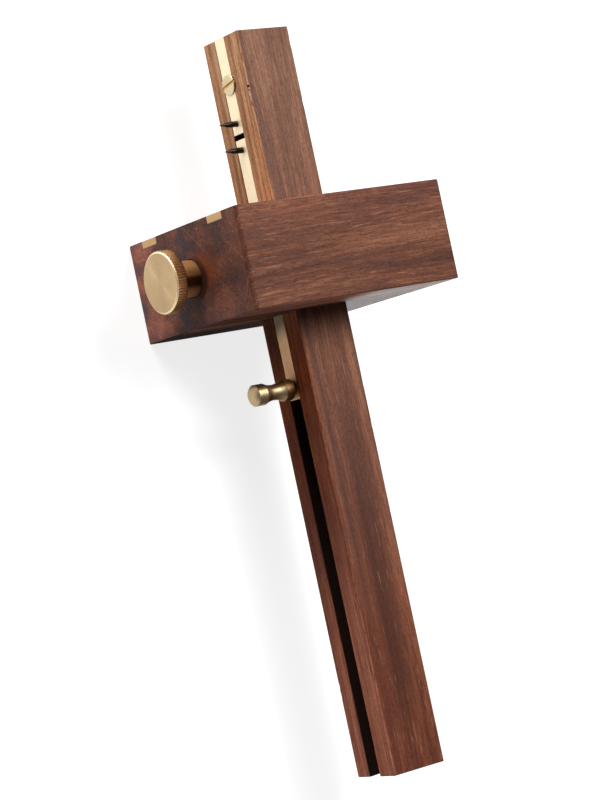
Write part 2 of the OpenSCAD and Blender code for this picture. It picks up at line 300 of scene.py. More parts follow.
class Rosewood(Finish):
    """Oiled rosewood. Rings run round a pith line, and fibres and pores along the grain."""

    def __init__(self, name, tones, low, high, along, pith):
        super().__init__(name)
        self.dark, self.middle, self.light = (tuple(tone) for tone in tones)
        self.low = low
        self.high = high
        self.position = self.coords()
        self.x, self.y, self.z = self.split(self.position)
        parts = {"X": self.x, "Y": self.y, "Z": self.z}
        self.grain = parts.pop(along)
        self.across, self.through = parts.values()
        self.block = self.join(self.across, self.through, self.grain)
        self.warped = self.wander(self.block, (26, 26, 5), 0.010)
        self.warped = self.wander(self.warped, (190, 190, 22), 0.0006)
        facing = dict(zip("XYZ", self.facing()))
        self.end = self.fade(facing[along], 0.5, 0.9)
        self.sawn = self.fade(facing["Y"], 0.5, 0.9)
        self.rubbed = 0.3  # roughness added on the faces that look along Y
        self.dull = 0.0  # roughness added where a piece says so
        self.open = 1.0  # share of the light flecks
        self.fibres = self.noise(self.stretch(self.warped, (2100, 2100, 75)), detail=3, roughness=0.6)
        pores = self.noise(self.stretch(self.warped, (4600, 4600, 330)), detail=1)
        self.pores = self.fade(pores, 0.58, 0.70)
        self.tone = self.figure(pith)
        self.tint = self.shades(self.dark, self.middle, self.light)

    def wander(self, place, scale, reach):
        """A place pushed about across the grain, so that the figure isn't straight."""
        clouds = self.noise(self.stretch(place, scale), detail=2, output="Color")
        push = self.vector("SUBTRACT", clouds, (0.5, 0.5, 0.5))
        return self.vector("ADD", place, self.vector("MULTIPLY", push, (reach, reach, 0.0)))

    def figure(self, pith):
        """The pattern of the rings and fibres, about 0.5 where dark and 0.8 where light."""
        spoke = self.vector("SUBTRACT", self.warped, (*pith, 0.0))
        radius = self.reach(self.vector("MULTIPLY", spoke, (1.0, 1.0, 0.0)))

        def rings(per_metre, drift, layer):
            return self.join(self.times(radius, per_metre), self.times(self.grain, drift), layer)

        shares = (
            (self.noise(rings(520.0, 7.0, 0.0), detail=5, roughness=0.6), 0.44),
            (self.noise(rings(120.0, 6.0, 3.0), detail=2), 0.30),
            (self.fibres, 0.40),
            (self.noise(self.stretch(self.block, (70, 70, 26)), detail=3), 0.14),
        )
        return self.plus(0.0, *(self.times(pattern, part) for pattern, part in shares))

    def shades(self, dark, middle, light):
        """The figure in three shades of one wood."""
        low_middle = tuple(0.5 * (a + b) for a, b in zip(dark, middle))
        high_middle = tuple(0.6 * a + 0.4 * b for a, b in zip(middle, light))
        stops = ((0.52, dark), (0.595, low_middle), (0.648, middle), (0.705, high_middle), (0.79, light))
        return self.ramp(self.tone, stops)

    def blend(self, amount, tint, blend="MIX"):
        """Mixes a colour into the wood."""
        self.tint = self.mix(amount, self.tint, tint, blend)

    def shade(self, amount, tint):
        """Multiplies the wood's colour by another."""
        self.blend(amount, tint, "MULTIPLY")

    def along(self, *stops):
        """Colours that follow each other along the grain, as (place, colour) with the places rising."""
        start, stop = stops[0][0], stops[-1][0]
        part = self.fade(self.grain, start, stop)
        return self.ramp(part, [((place - start) / (stop - start), tint) for place, tint in stops])

    def near(self, across, through, inner, outer):
        """1 within the inner distance of a line along the grain, and 0 past the outer one."""
        away = self.vector("SUBTRACT", self.join(self.across, self.through, 0.0), (across, through, 0.0))
        return self.fall(self.reach(away), inner, outer)

    def from_arris(self):
        """Distance in from the long edge between the left face and the front one."""
        return self.most(self.gap(self.x, self.low.x), self.gap(self.z, self.high.z))

    def arrises(self, inner, outer):
        """1 within the inner distance of the block's edges, and 0 past the outer one."""
        inset = self.vector("SUBTRACT", self.position, tuple((self.low + self.high) / 2))
        inset = self.vector("SUBTRACT", tuple((self.high - self.low) / 2), self.vector("ABSOLUTE", inset))
        x, y, z = (self.fall(part, inner, outer) for part in self.split(inset))
        return self.most(*(self.math("MINIMUM", a, b) for a, b in ((x, y), (y, z), (x, z))))

    def streaks(self, *rows, across=0):
        """Streaks along the grain, each as (centre, lean, half width, start, stop, amount, colour).

        A streak lies at centre + lean * grain on the axis across it, and tapers off at both ends.
        """
        taper = 0.015
        line_across = self.split(self.warped)[across]
        for centre, lean, half, start, stop, amount, tint in rows:
            line = self.minus(line_across, self.times(self.grain, lean))
            mask = self.times(
                self.fall(self.gap(line, centre), 0.4 * half, 1.3 * half),
                self.fade(self.grain, start - taper, start + taper),
                self.fall(self.grain, stop - taper, stop + taper),
                self.fade(self.fibres, 0.30, 0.62, 0.35, 1.0),
                amount,
            )
            self.blend(mask, tint)

    def scar(self, y):
        """A dark nick on the front left arris at y, with a pale chip below it."""
        edge = self.fall(self.from_arris(), 0.0004, 0.0006)
        below = self.minus(y, self.grain)
        pale = self.times(self.fade(below, 0.0004, 0.0007), self.fall(below, 0.0026, 0.0042))
        self.blend(self.times(pale, edge, 0.8), (0.46, 0.30, 0.22))
        hole = self.fall(self.math("ABSOLUTE", below), 0.0003, 0.0005)
        self.blend(self.times(hole, edge), (0.010, 0.005, 0.004))

    def dressed(self, fleck, wear, sheen):
        """Adds light flecks, pores and worn edges, and ends the material."""
        pale = tuple(min(1.0, 1.25 * c) for c in self.light)
        flecks = self.fade(self.noise(self.stretch(self.warped, (1500, 1500, 120)), detail=2), 0.60, 0.74)
        self.blend(self.times(flecks, fleck, self.open), pale)
        self.blend(self.times(self.pores, 0.45), tuple(0.4 * c for c in self.dark))
        grit = self.noise(self.stretch(self.block, (2600, 2600, 1100)), detail=1)
        self.shade(1.0, self.ramp(grit, ((0.34, (0.76, 0.74, 0.72)), (0.60, (1.0, 1.0, 1.0)))))
        rub = self.noise(self.stretch(self.position, (420, 420, 420)), detail=4)
        worn = self.times(self.arrises(0.0, 0.0006), self.fade(rub, 0.46, 0.64))
        self.blend(self.times(worn, wear), pale)
        rough = self.plus(
            self.fade(self.fibres, 0.3, 0.7, 0.42, 0.56),
            self.times(self.pores, 0.15),
            self.times(self.sawn, self.rubbed),
            self.dull,
        )
        relief = self.minus(self.times(self.fibres, 0.4), self.pores)
        return self.surface(
            {
                "Base Color": self.tint,
                "Roughness": rough,
                "Specular IOR Level": sheen,
                "Normal": self.bump(relief, 0.00005, 0.5),
            }
        )


def stem_front(finish, redness):
    """The streaks of the stem's front, and the redder tone towards its foot."""
    dark = finish.dark
    finish.streaks(
        (-0.0079, 0.004, 0.0011, -0.16, 0.09, 0.6, dark),
        (-0.0028, 0.0, 0.0008, -0.02, 0.09, 0.35, dark),
        (0.0050, -0.030, 0.0010, -0.02, 0.09, 0.35, dark),
        (0.0074, 0.004, 0.0017, -0.155, -0.022, 0.32, (0.60, 0.34, 0.20)),
        (0.0018, 0.024, 0.0044, -0.146, -0.048, 0.70, (0.085, 0.050, 0.040)),
        (0.0004, 0.024, 0.0009, -0.150, -0.060, 0.55, dark),
        (-0.0066, 0.006, 0.0013, -0.108, -0.028, 0.50, (0.095, 0.056, 0.045)),
    )
    faded = finish.along(
        (-0.141, (0.64, 0.40, 0.335)),
        (-0.100, (0.68, 0.51, 0.51)),
        (-0.063, (0.90, 0.72, 0.71)),
        (-0.030, (1.0, 0.86, 0.81)),
        (0.030, (0.87, 0.85, 0.86)),
        (0.070, (1.0, 1.0, 1.0)),
    )
    finish.shade(redness, faded)
    finish.streaks((-0.0088, 0.0, 0.0007, 0.012, 0.066, 0.45, (0.085, 0.055, 0.052)))


def stem_side(finish, wood, groove_z):
    """The warmer wood of the stem's grooved side, with painted shade in a band below the stock and a darker
    lip behind the groove.
    """
    dark = tuple(wood.side_dark)
    finish.tint = finish.shades(dark, tuple(wood.side_mid), tuple(wood.side_light))
    # Colour along the grooved side: its wood tone, and painted shade in a band below the stock, darkest near
    # y -0.10.
    side_tone_and_shade = finish.along(
        (-0.141, (0.75, 0.57, 0.71)),
        (-0.118, (0.40, 0.27, 0.32)),
        (-0.102, (0.32, 0.20, 0.22)),
        (-0.063, (0.66, 0.39, 0.35)),
        (-0.040, (0.90, 0.48, 0.32)),
        (-0.022, (0.66, 0.40, 0.31)),
        (0.017, (0.93, 1.04, 1.07)),
        (0.028, (1.16, 1.23, 1.24)),
        (0.061, (1.14, 1.28, 1.38)),
        (0.081, (1.15, 1.33, 1.48)),
    )
    finish.shade(1.0, side_tone_and_shade)
    finish.streaks(
        (0.0255, 0.0, 0.0009, -0.03, 0.058, 0.55, dark),
        (0.0362, 0.0, 0.0007, 0.03, 0.09, 0.45, dark),
        (0.0402, -0.01, 0.0012, -0.01, 0.045, 0.55, (0.66, 0.27, 0.11)),
        (0.0232, 0.0, 0.0007, 0.0, 0.08, 0.40, (0.66, 0.30, 0.13)),
        (0.0404, 0.0, 0.0011, -0.115, -0.030, 0.45, (0.30, 0.085, 0.032)),
        # Painted shadow of the stock on the back lip, darkest just below the stock.
        (0.0250, 0.0, 0.0036, -0.034, 0.0, 0.60, (0.045, 0.018, 0.013)),
        across=1,
    )
    darker = finish.along(
        (0.005, (1.0, 1.0, 1.0)),
        (0.024, (0.74, 0.74, 0.74)),
        (0.041, (0.77, 0.76, 0.76)),
        (0.061, (0.87, 0.86, 0.86)),
        (0.081, (0.97, 0.97, 0.97)),
    )
    half = 0.003
    finish.shade(finish.fall(finish.z, groove_z - half, groove_z + half), darker)


def stem_rosewood(wood, low, high, groove_z):
    """The stem's wood, warmer on the grooved side, redder towards the foot, with painted shade along its
    front-left arris and in a band below the stock, and near-black painted shade in the groove.
    """
    tones = (wood.stem_dark, wood.stem_mid, wood.stem_light)
    finish = Rosewood("oiled_rosewood_stem", tones, low, high, along="Y", pith=(0.034, -0.026))
    stem_front(finish, wood.foot_redness)
    front = finish.tint
    stem_side(finish, wood, groove_z)
    side = finish.fall(finish.x, low.x + 0.0002, low.x + 0.0008)
    finish.tint = finish.mix(side, front, finish.tint)
    # Painted shade along the front-left arris.
    finish.shade(finish.fall(finish.from_arris(), 0.0004, 0.0010, 0.30), (0.42, 0.36, 0.34))
    # Painted shade: the inside of the groove is painted near black.
    wall_z, wood_z = 0.0036, 0.0044
    mouth_x, dark_x, floor_x, wood_x = (low.x + depth for depth in (0.00005, 0.0005, 0.0050, 0.0056))
    groove = finish.times(
        finish.fall(finish.gap(finish.z, groove_z), wall_z, wood_z),
        finish.fade(finish.x, mouth_x, dark_x),
        finish.fall(finish.x, floor_x, wood_x),
    )
    finish.blend(finish.times(groove, 0.93), (0.038, 0.020, 0.015))
    finish.open = finish.minus(1.0, groove)
    finish.dull = finish.times(finish.most(side, finish.times(groove, 2.2)), 0.20)
    finish.shade(finish.times(finish.end, 0.8), (0.62, 0.55, 0.55))
    finish.scar(wood.nick_place)
    return finish.dressed(fleck=0.30, wear=0.20, sheen=wood.sheen)


def stock_heart(finish, patch, grit):
    """The redder end grain of the stock, paler at its back, with a blue-black heart that leans across it."""
    y, z = finish.y, finish.z
    red = finish.ramp(
        finish.plus(finish.times(patch, 0.65), finish.times(grit, 0.35)),
        ((0.38, (0.056, 0.029, 0.029)), (0.50, (0.114, 0.041, 0.029)), (0.60, (0.215, 0.074, 0.046))),
    )
    finish.blend(finish.times(finish.end, finish.fade(z, 0.053, 0.064, 1.0, 0.35)), red)
    finish.shade(finish.end, finish.mix(finish.fade(z, 0.003, 0.021), (2.30, 2.45, 2.60), (1.0, 1.0, 1.0)))
    sway = finish.noise(finish.stretch(finish.block, (140, 140, 20)), detail=3)
    leaning = finish.minus(finish.minus(z, finish.times(y, 0.22)), finish.times(sway, 0.030))
    heart = finish.fall(finish.gap(leaning, 0.0135), 0.0015, 0.0058)
    finish.blend(finish.times(heart, finish.times(finish.end, 0.8)), (0.034, 0.032, 0.042))


def stock_saw_marks(finish, patch, grit):
    """Slanting saw marks and pale wood dust on the stock's end grain."""
    y, z = finish.y, finish.z
    slant = finish.join(
        finish.times(finish.plus(y, z), 900.0),
        finish.times(finish.minus(z, y), 14.0),
        finish.times(finish.grain, 20.0),
    )
    saw = finish.fade(finish.noise(slant, detail=1), 0.65, 0.74)
    finish.blend(finish.times(saw, finish.end, 0.50), (0.34, 0.15, 0.09))
    dust = finish.times(
        finish.fade(finish.noise(finish.stretch(finish.block, (1500, 1500, 1500)), detail=1), 0.67, 0.73),
        finish.fade(patch, 0.42, 0.55),
        finish.fade(z, 0.030, 0.046, 0.3, 1.0),
        finish.fade(grit, 0.40, 0.55),
        finish.end,
        0.75,
    )
    finish.blend(dust, (0.48, 0.26, 0.18))


def stock_lower_face(finish, left):
    """The stock's lower face, paler at its front, with a painted band of reflected light and painted shade
    at its back on the thumbscrew's side.
    """
    low_y = finish.low.y
    lower = finish.fall(finish.y, low_y, low_y + 0.0003)
    finish.shade(finish.times(lower, finish.fade(finish.z, 0.0450, 0.0490)), (2.7, 3.1, 3.7))
    lower = finish.times(lower, left)
    # Painted light: a paler band across the lower face on the thumbscrew's side.
    reflected_light_band = finish.fall(finish.gap(finish.z, 0.0265), 0.0010, 0.0050, 0.6)
    finish.blend(finish.times(lower, reflected_light_band), (0.40, 0.23, 0.16))
    # Painted shade: near black at the back of the lower face on the thumbscrew's side.
    painted_shade = finish.times(lower, finish.fall(finish.z, 0.0150, 0.0215, 0.9))
    finish.blend(painted_shade, (0.008, 0.004, 0.004))
    finish.open = finish.minus(1.0, painted_shade)
    finish.dull = finish.times(painted_shade, 0.45)


def stock_rosewood(wood, low, high):
    """The stock's wood, with its heart and saw marks, a red patch beside the thumbscrew, and painted shade
    round the thumbscrew's boss, on the rounded corner and along the top edge of the end grain.
    """
    tones = (wood.stock_dark, wood.stock_mid, wood.stock_light)
    finish = Rosewood("oiled_rosewood_stock", tones, low, high, along="X", pith=(0.060, -0.048))
    grit = finish.noise(finish.stretch(finish.block, (1500, 1500, 300)), detail=3, roughness=0.7)
    patch = finish.stretch(finish.block, (150, 95, 20), move=(3.1, 1.7, 0.0))
    patch = finish.noise(patch, detail=3, roughness=0.6)
    left = finish.fall(finish.x, -0.012, 0.012)
    screw_end = finish.times(finish.end, left)
    upper = finish.fade(finish.y, 0.003, 0.013)
    finish.shade(1.0, finish.mix(upper, (0.84, 0.79, 0.80), (1.10, 1.03, 1.09)))
    stock_heart(finish, patch, grit)
    ember = finish.near(0.0004, 0.0405, inner=0.0026, outer=0.0082)
    ember = finish.times(ember, finish.fade(patch, 0.35, 0.55, 0.55, 0.95), screw_end)
    finish.blend(ember, (0.255, 0.058, 0.018))
    stock_saw_marks(finish, patch, grit)
    # Painted shadow: a near-black crescent on the end grain round the boss, on its front side.
    painted_shade = finish.near(-0.0012, 0.0345, inner=0.0058, outer=0.0078)
    painted_shade = finish.times(painted_shade, finish.fade(finish.z, 0.031, 0.036), screw_end, 0.85)
    finish.blend(painted_shade, (0.012, 0.006, 0.005))
    # Painted shade on the rounded corner between the end grain and the front face.
    corner = finish.fall(finish.from_arris(), 0.6 * wood.soft_corner, 1.1 * wood.soft_corner, 0.35)
    finish.shade(corner, (0.55, 0.50, 0.48))
    # Painted shade along the edge between the end grain and the top face.
    top_edge = finish.most(finish.minus(finish.x, low.x), finish.minus(high.y, finish.y))
    finish.shade(finish.fall(top_edge, 0.0003, 0.0006, 0.8), (0.20, 0.17, 0.16))
    finish.rubbed = finish.minus(finish.times(left, 0.65), 0.15)
    stock_lower_face(finish, left)
    return finish.dressed(fleck=0.42, wear=0.06, sheen=wood.sheen)


def brass(name, tint, lines, roughness, depth, anisotropy=0.0, cloudy=1.0, stains_and_shade=()):
    """Brass with fine tool marks along the lines' vector, and stains, painted shade, painted reflections and
    painted highlights as (where, colour, roughness).
    """
    metal = Finish(name)
    position = metal.coords()
    tint = tuple(tint)
    marks = metal.noise(lines(metal, position), detail=3, roughness=0.6)
    bloom = metal.noise(metal.stretch(position, (230, 230, 230)), detail=4, roughness=0.6)
    duller, brighter = (0.12, 0.16, 0.24), (0.06, 0.08, 0.12)
    dull = tuple(c * (1 - cloudy * k) for c, k in zip(tint, duller))
    bright = tuple(min(1.0, c * (1 + cloudy * k)) for c, k in zip(tint, brighter))
    body = metal.ramp(bloom, ((0.30, dull), (0.52, tint), (0.74, bright)))
    body = metal.mix(metal.fade(marks, 0.35, 0.75, 0.0, 0.28), body, dull)
    spots = metal.noise(metal.stretch(position, (1500, 1500, 1500)), detail=2)
    body = metal.mix(metal.fade(spots, 0.68, 0.78, 0.0, 0.25), body, tuple(0.45 * c for c in tint))
    rough = metal.fade(marks, 0.25, 0.75, roughness - 0.05, roughness + 0.08)
    rough = metal.plus(rough, metal.fade(bloom, 0.3, 0.7, -0.03, 0.04))
    for where, overlay_colour, change in stains_and_shade:
        amount = where(metal, position)
        body = metal.mix(amount, body, overlay_colour)
        rough = metal.plus(rough, metal.times(amount, change))
    inputs = {"Base Color": body, "Metallic": 1.0, "Roughness": rough, "Normal": metal.bump(marks, depth)}
    if anisotropy:
        inputs["Anisotropic"] = anisotropy
        inputs["Tangent"] = metal.add("Tangent", direction_type="RADIAL", axis="X").outputs["Tangent"]
    return metal.surface(inputs)


def drawn(scale):
    """Straight tool marks, longest where the scale is smallest."""
    return lambda metal, position: metal.stretch(position, scale)


def lathe(y, z):
    """Tool marks that run round a line along X, 7000 to a metre."""

    def lines(metal, position):
        x, _, reach = metal.around(position, y, z)
        return metal.join(metal.times(reach, 7000.0), metal.times(x, 7000.0), 0.0)

    return lines


def blued_steel(name, tint):
    """Hardened steel, blued and rubbed to bronze in places."""
    steel = Finish(name)
    position = steel.coords()
    bloom = steel.noise(steel.stretch(position, (600, 600, 600)), detail=3)
    tint = tuple(tint)
    rubbed = tuple(c * k for c, k in zip(tint, (2.3, 1.7, 1.25)))
    marks = steel.noise(steel.stretch(position, (9000, 300, 300)), detail=2)
    return steel.surface(
        {
            "Base Color": steel.ramp(bloom, ((0.38, tint), (0.72, rubbed))),
            "Metallic": 1.0,
            "Roughness": steel.fade(marks, 0.3, 0.7, 0.26, 0.42),
            "Normal": steel.bump(marks, 0.000003),
        }
    )


def start():
    """Leaves edit mode and deselects everything, so that an operator acts on the new piece alone."""
    if bpy.context.object and bpy.context.object.mode != "OBJECT":
        bpy.ops.object.mode_set(mode="OBJECT")
    bpy.ops.object.select_all(action="DESELECT")


def hold(piece):
    """Makes a piece the only one that operators act on."""
    start()
    piece.select_set(True)
    bpy.context.view_layer.objects.active = piece


def settle(piece, name):
    """Names a piece and puts its place into its mesh."""
    piece.name = name
    piece.data.name = name
    bpy.ops.object.transform_apply(location=True, rotation=True, scale=True)
    return piece


def block(name, low, high):
    """A block between two corners."""
    start()
    bpy.ops.mesh.primitive_cube_add(size=1, location=(low + high) / 2)
    piece = bpy.context.object
    piece.scale = high - low
    return settle(piece, name)


def rod(name, x0, x1, d, y, z, columns=96):
    """A rod along X."""
    start()
    bpy.ops.mesh.primitive_cylinder_add(
        vertices=columns,
        radius=d / 2,
        depth=x1 - x0,
        location=((x0 + x1) / 2, y, z),
        rotation=(0, math.pi / 2, 0),
    )
    return settle(bpy.context.object, name)


def pick(piece, kind, chosen):
    """Opens a piece in edit mode with the chosen vertices, edges or faces selected."""
    hold(piece)
    bpy.ops.object.mode_set(mode="EDIT")
    bpy.ops.mesh.select_mode(type=kind)
    bpy.ops.mesh.select_all(action="DESELECT")
    bpy.ops.object.mode_set(mode="OBJECT")
    mesh = piece.data
    for part in {"VERT": mesh.vertices, "EDGE": mesh.edges, "FACE": mesh.polygons}[kind]:
        part.select = chosen(part)
    bpy.ops.object.mode_set(mode="EDIT")


def resize(piece, kind, chosen, value, centre):
    """Scales the chosen vertices or faces of a piece about a centre."""
    pick(piece, kind, chosen)
    bpy.ops.transform.resize(value=value, center_override=centre)
    bpy.ops.object.mode_set(mode="OBJECT")


def round_edges(piece, width, chosen, segments):
    """Rounds the chosen edges. Chosen is asked with an edge's two ends."""
    points = [vertex.co.copy() for vertex in piece.data.vertices]
    pick(piece, "EDGE", lambda edge: chosen(points[edge.vertices[0]], points[edge.vertices[1]]))
    bpy.ops.mesh.bevel(offset=width, segments=segments, affect="EDGES")
    bpy.ops.object.mode_set(mode="OBJECT")


def round_sharp_edges(piece, width, segments):
    """Rounds every edge that turns by more than 45 degrees."""
    pick(piece, "EDGE", lambda edge: False)
    bpy.ops.mesh.edges_select_sharp(sharpness=math.radians(45))
    bpy.ops.mesh.bevel(offset=width, segments=segments, affect="EDGES")
    bpy.ops.object.mode_set(mode="OBJECT")


def carve(piece, tool, operation="DIFFERENCE"):
    """Cuts a tool out of a piece, or keeps what they share, and puts the tool away."""
    hold(piece)
    modifier = piece.modifiers.new("carve", "BOOLEAN")
    modifier.operation = operation
    modifier.solver = "EXACT"
    modifier.object = tool
    bpy.ops.object.modifier_apply(modifier=modifier.name)
    bpy.data.objects.remove(tool)


def turned(name, outline, y, z, columns=96):
    """Turns a piece about a line along X. Outline holds (x, radius) from one end to the other."""
    start()
    bpy.ops.mesh.primitive_circle_add(
        vertices=columns,
        radius=outline[0][1],
        fill_type="NGON",
        location=(outline[0][0], y, z),
        rotation=(0, math.pi / 2, 0),
    )
    piece = settle(bpy.context.object, name)
    bpy.ops.object.mode_set(mode="EDIT")
    bpy.ops.mesh.select_mode(type="FACE")
    bpy.ops.mesh.select_all(action="SELECT")
    for (x0, r0), (x1, r1) in zip(outline, outline[1:]):
        bpy.ops.mesh.extrude_region_move(TRANSFORM_OT_translate={"value": (x1 - x0, 0, 0)})
        if r1 != r0:
            bpy.ops.transform.resize(value=(1, r1 / r0, r1 / r0), center_override=(x1, y, z))
    bpy.ops.mesh.select_all(action="SELECT")
    bpy.ops.mesh.normals_make_consistent(inside=False)
    bpy.ops.object.mode_set(mode="OBJECT")
    return piece


def dovetail(name, x0, x1, y0, y1, z, face_w, base_w):
    """A dovetail bar along Y, face_w wide at x0 and base_w wide at x1."""
    piece = block(name, Vector((x0, y0, z - face_w / 2)), Vector((x1, y1, z + face_w / 2)))
    wider = (1, 1, base_w / face_w)
    resize(piece, "FACE", lambda face: face.normal.x > 0.5, wider, (x1, (y0 + y1) / 2, z))
    return piece


def dovetail_slope(sizes):
    """How much the slide bar widens for each metre of its depth."""
    low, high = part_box("slide_bar")
    return (high.z - low.z - sizes.slide_face_w) / (high.x - low.x)


def chip(piece, spot, size, turn):
    """Breaks a small chip out of an edge, turned about Z."""
    start()
    bpy.ops.mesh.primitive_ico_sphere_add(subdivisions=2, radius=1, location=spot, rotation=(0, 0, turn))
    tool = bpy.context.object
    tool.scale = size
    carve(piece, settle(tool, "chip"))


def soft_block(name, low, high, wood):
    """The stock's outer block, with one handled corner rounder than its other edges."""
    piece = block(name, low, high)

    def at_corner(a, b):
        return max(a.x, b.x) < low.x + NEAR and min(a.z, b.z) > high.z - NEAR

    round_edges(piece, wood.soft_corner, at_corner, segments=6)
    round_sharp_edges(piece, wood.stock_arris, segments=4)
    return piece


def paint(piece, material):
    """Gives a piece one material all over."""
    piece.data.materials.clear()
    piece.data.materials.append(material)


def finish_piece(piece, material, body, slot, *nodes, angle=math.radians(30), weighted=False):
    """Smooths a piece, gives it its material and seats it on its body in place of its nodes."""
    hold(piece)
    bpy.ops.object.shade_smooth_by_angle(angle=angle)
    if weighted:
        modifier = piece.modifiers.new("flat faces", "WEIGHTED_NORMAL")
        modifier.keep_sharp = True
        bpy.ops.object.modifier_apply(modifier=modifier.name)
    paint(piece, material)
    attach(piece, body)
    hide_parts(*nodes)


def middle(node):
    """Centre of a node's box."""
    low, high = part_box(node)
    return (low + high) / 2


class GAUGE_OT_stem(Operator):
    """Plane the rosewood stem, with its dovetail groove and worn edges"""

    bl_idname = "gauge.stem"
    bl_label = "Stem"
    bl_options = {"REGISTER", "UNDO"}

    def execute(self, context):
        wood = context.scene.gauge_wood
        sizes = context.scene.gauge_brass
        low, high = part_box("stem")
        bar_low, bar_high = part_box("slide_bar")
        stem = block("stem_bar", low, high)
        round_sharp_edges(stem, wood.stem_arris, segments=4)

        floor_x = bar_high.x + wood.groove_floor_gap
        slope = dovetail_slope(sizes)
        gaps = wood.groove_back_gap + wood.groove_front_gap
        groove_z = (bar_low.z + bar_high.z + wood.groove_front_gap - wood.groove_back_gap) / 2
        groove = dovetail(
            "groove",
            low.x - OVER,
            floor_x,
            low.y - OVER,
            high.y + OVER,
            groove_z,
            sizes.slide_face_w - slope * OVER + gaps,
            sizes.slide_face_w + slope * (floor_x - low.x) + gaps,
        )
        carve(stem, groove)

        screw_low, screw_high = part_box("plate_screw")
        screw = middle("plate_screw")
        relief_d = screw_high.y - screw_low.y + 2 * sizes.relief
        relief_x = low.x + sizes.relief_t
        off = 0.6 * sizes.relief  # the head sits off the middle of its recess
        relief = rod("relief", low.x - OVER, relief_x, relief_d, screw.y - off, screw.z + off, columns=64)
        carve(stem, relief)

        chips_on_edge, foot_clear, pin_end_clear = 7, 0.01, 0.005
        chance = random.Random(11)
        for x, z in ((low.x, high.z), (high.x, high.z), (low.x, low.z), (high.x, low.z)):
            for _ in range(chips_on_edge):
                spot = Vector((x, chance.uniform(low.y + foot_clear, high.y - pin_end_clear), z))
                size = Vector((1, chance.uniform(1.5, 6.0), 1)) * wood.nick * chance.uniform(0.5, 0.9)
                chip(stem, spot, size, chance.uniform(-0.1, 0.1))
        for drop, stretch in ((0.0, 0.8), (0.0019, 2.6), (0.0062, 3.0)):
            spot = Vector((low.x, wood.nick_place - drop, high.z))
            chip(stem, spot, Vector((1, stretch, 1)) * wood.nick, 0.05)

        material = stem_rosewood(wood, low, high, groove_z)
        finish_piece(stem, material, "stem", "stem_wood", "stem", weighted=True)
        return {"FINISHED"}


class GAUGE_OT_stock(Operator):
    """Shape the rosewood stock, with its mortise, counterbore and seats for the strips"""

    bl_idname = "gauge.stock"
    bl_label = "Stock"
    bl_options = {"REGISTER", "UNDO"}

    def execute(self, context):
        wood = context.scene.gauge_wood
        low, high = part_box("stock")
        stem_low, stem_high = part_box("stem")
        bush_low, bush_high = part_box("threaded_insert")
        shoe_low, shoe_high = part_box("pressure_shoe")
        screw = middle("threaded_insert")
        play = Vector((wood.mortise_play, 0.0, wood.mortise_play))
        past_x = Vector((OVER, 0, 0))
        past_y = Vector((0, OVER, 0))
        stock = soft_block("stock_block", low, high, wood)

        mortise_low = Vector((stem_low.x, low.y, stem_low.z)) - play - past_y
        mortise_high = Vector((stem_high.x, high.y, stem_high.z)) + play + past_y
        carve(stock, block("mortise", mortise_low, mortise_high))
        for node in ("wear_strip_front", "wear_strip_back"):
            strip_low, strip_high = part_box(node)
            carve(stock, block("seat", strip_low - past_x, strip_high + past_x + past_y))
        recess_x = low.x + wood.counterbore_t
        shoe_d = shoe_high.y - shoe_low.y + 2 * wood.mortise_play
        for name, x0, x1, d in (
            ("recess", low.x - OVER, recess_x, wood.counterbore_d),
            ("bush bore", low.x, bush_high.x, bush_high.y - bush_low.y),
            ("shoe bore", low.x, mortise_low.x + OVER / 2, shoe_d),
        ):
            carve(stock, rod(name, x0, x1, d, screw.y, screw.z))

        def at_mouth(a, b):
            reach = max(math.hypot(p.y - screw.y, p.z - screw.z) for p in (a, b))
            return max(a.x, b.x) < low.x + NEAR and abs(reach - wood.counterbore_d / 2) < 5 * NEAR

        round_edges(stock, wood.mouth, at_mouth, segments=2)
        material = stock_rosewood(wood, low, high)
        finish_piece(stock, material, "stock", "stock_wood", "stock", weighted=True)
        return {"FINISHED"}


class GAUGE_OT_wear_strips(Operator):
    """Let the two brass wear strips into the fence"""

    bl_idname = "gauge.wear_strips"
    bl_label = "Wear Strips"
    bl_options = {"REGISTER", "UNDO"}

    def execute(self, context):
        sizes = context.scene.gauge_brass
        low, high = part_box("stock")
        sanded = drawn((60, 5200, 5200))
        material = brass(
            "sanded_strip_brass", sizes.strip, sanded, roughness=0.42, depth=0.000006, cloudy=0.6
        )
        for node, name in (("wear_strip_front", "front_strip"), ("wear_strip_back", "back_strip")):
            strip_low, strip_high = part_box(node)
            strip = block(name, strip_low, strip_high)
            carve(strip, soft_block("flush", low, high, context.scene.gauge_wood), "INTERSECT")
            finish_piece(strip, material, "stock", "strip_brass", node, weighted=True)
        return {"FINISHED"}


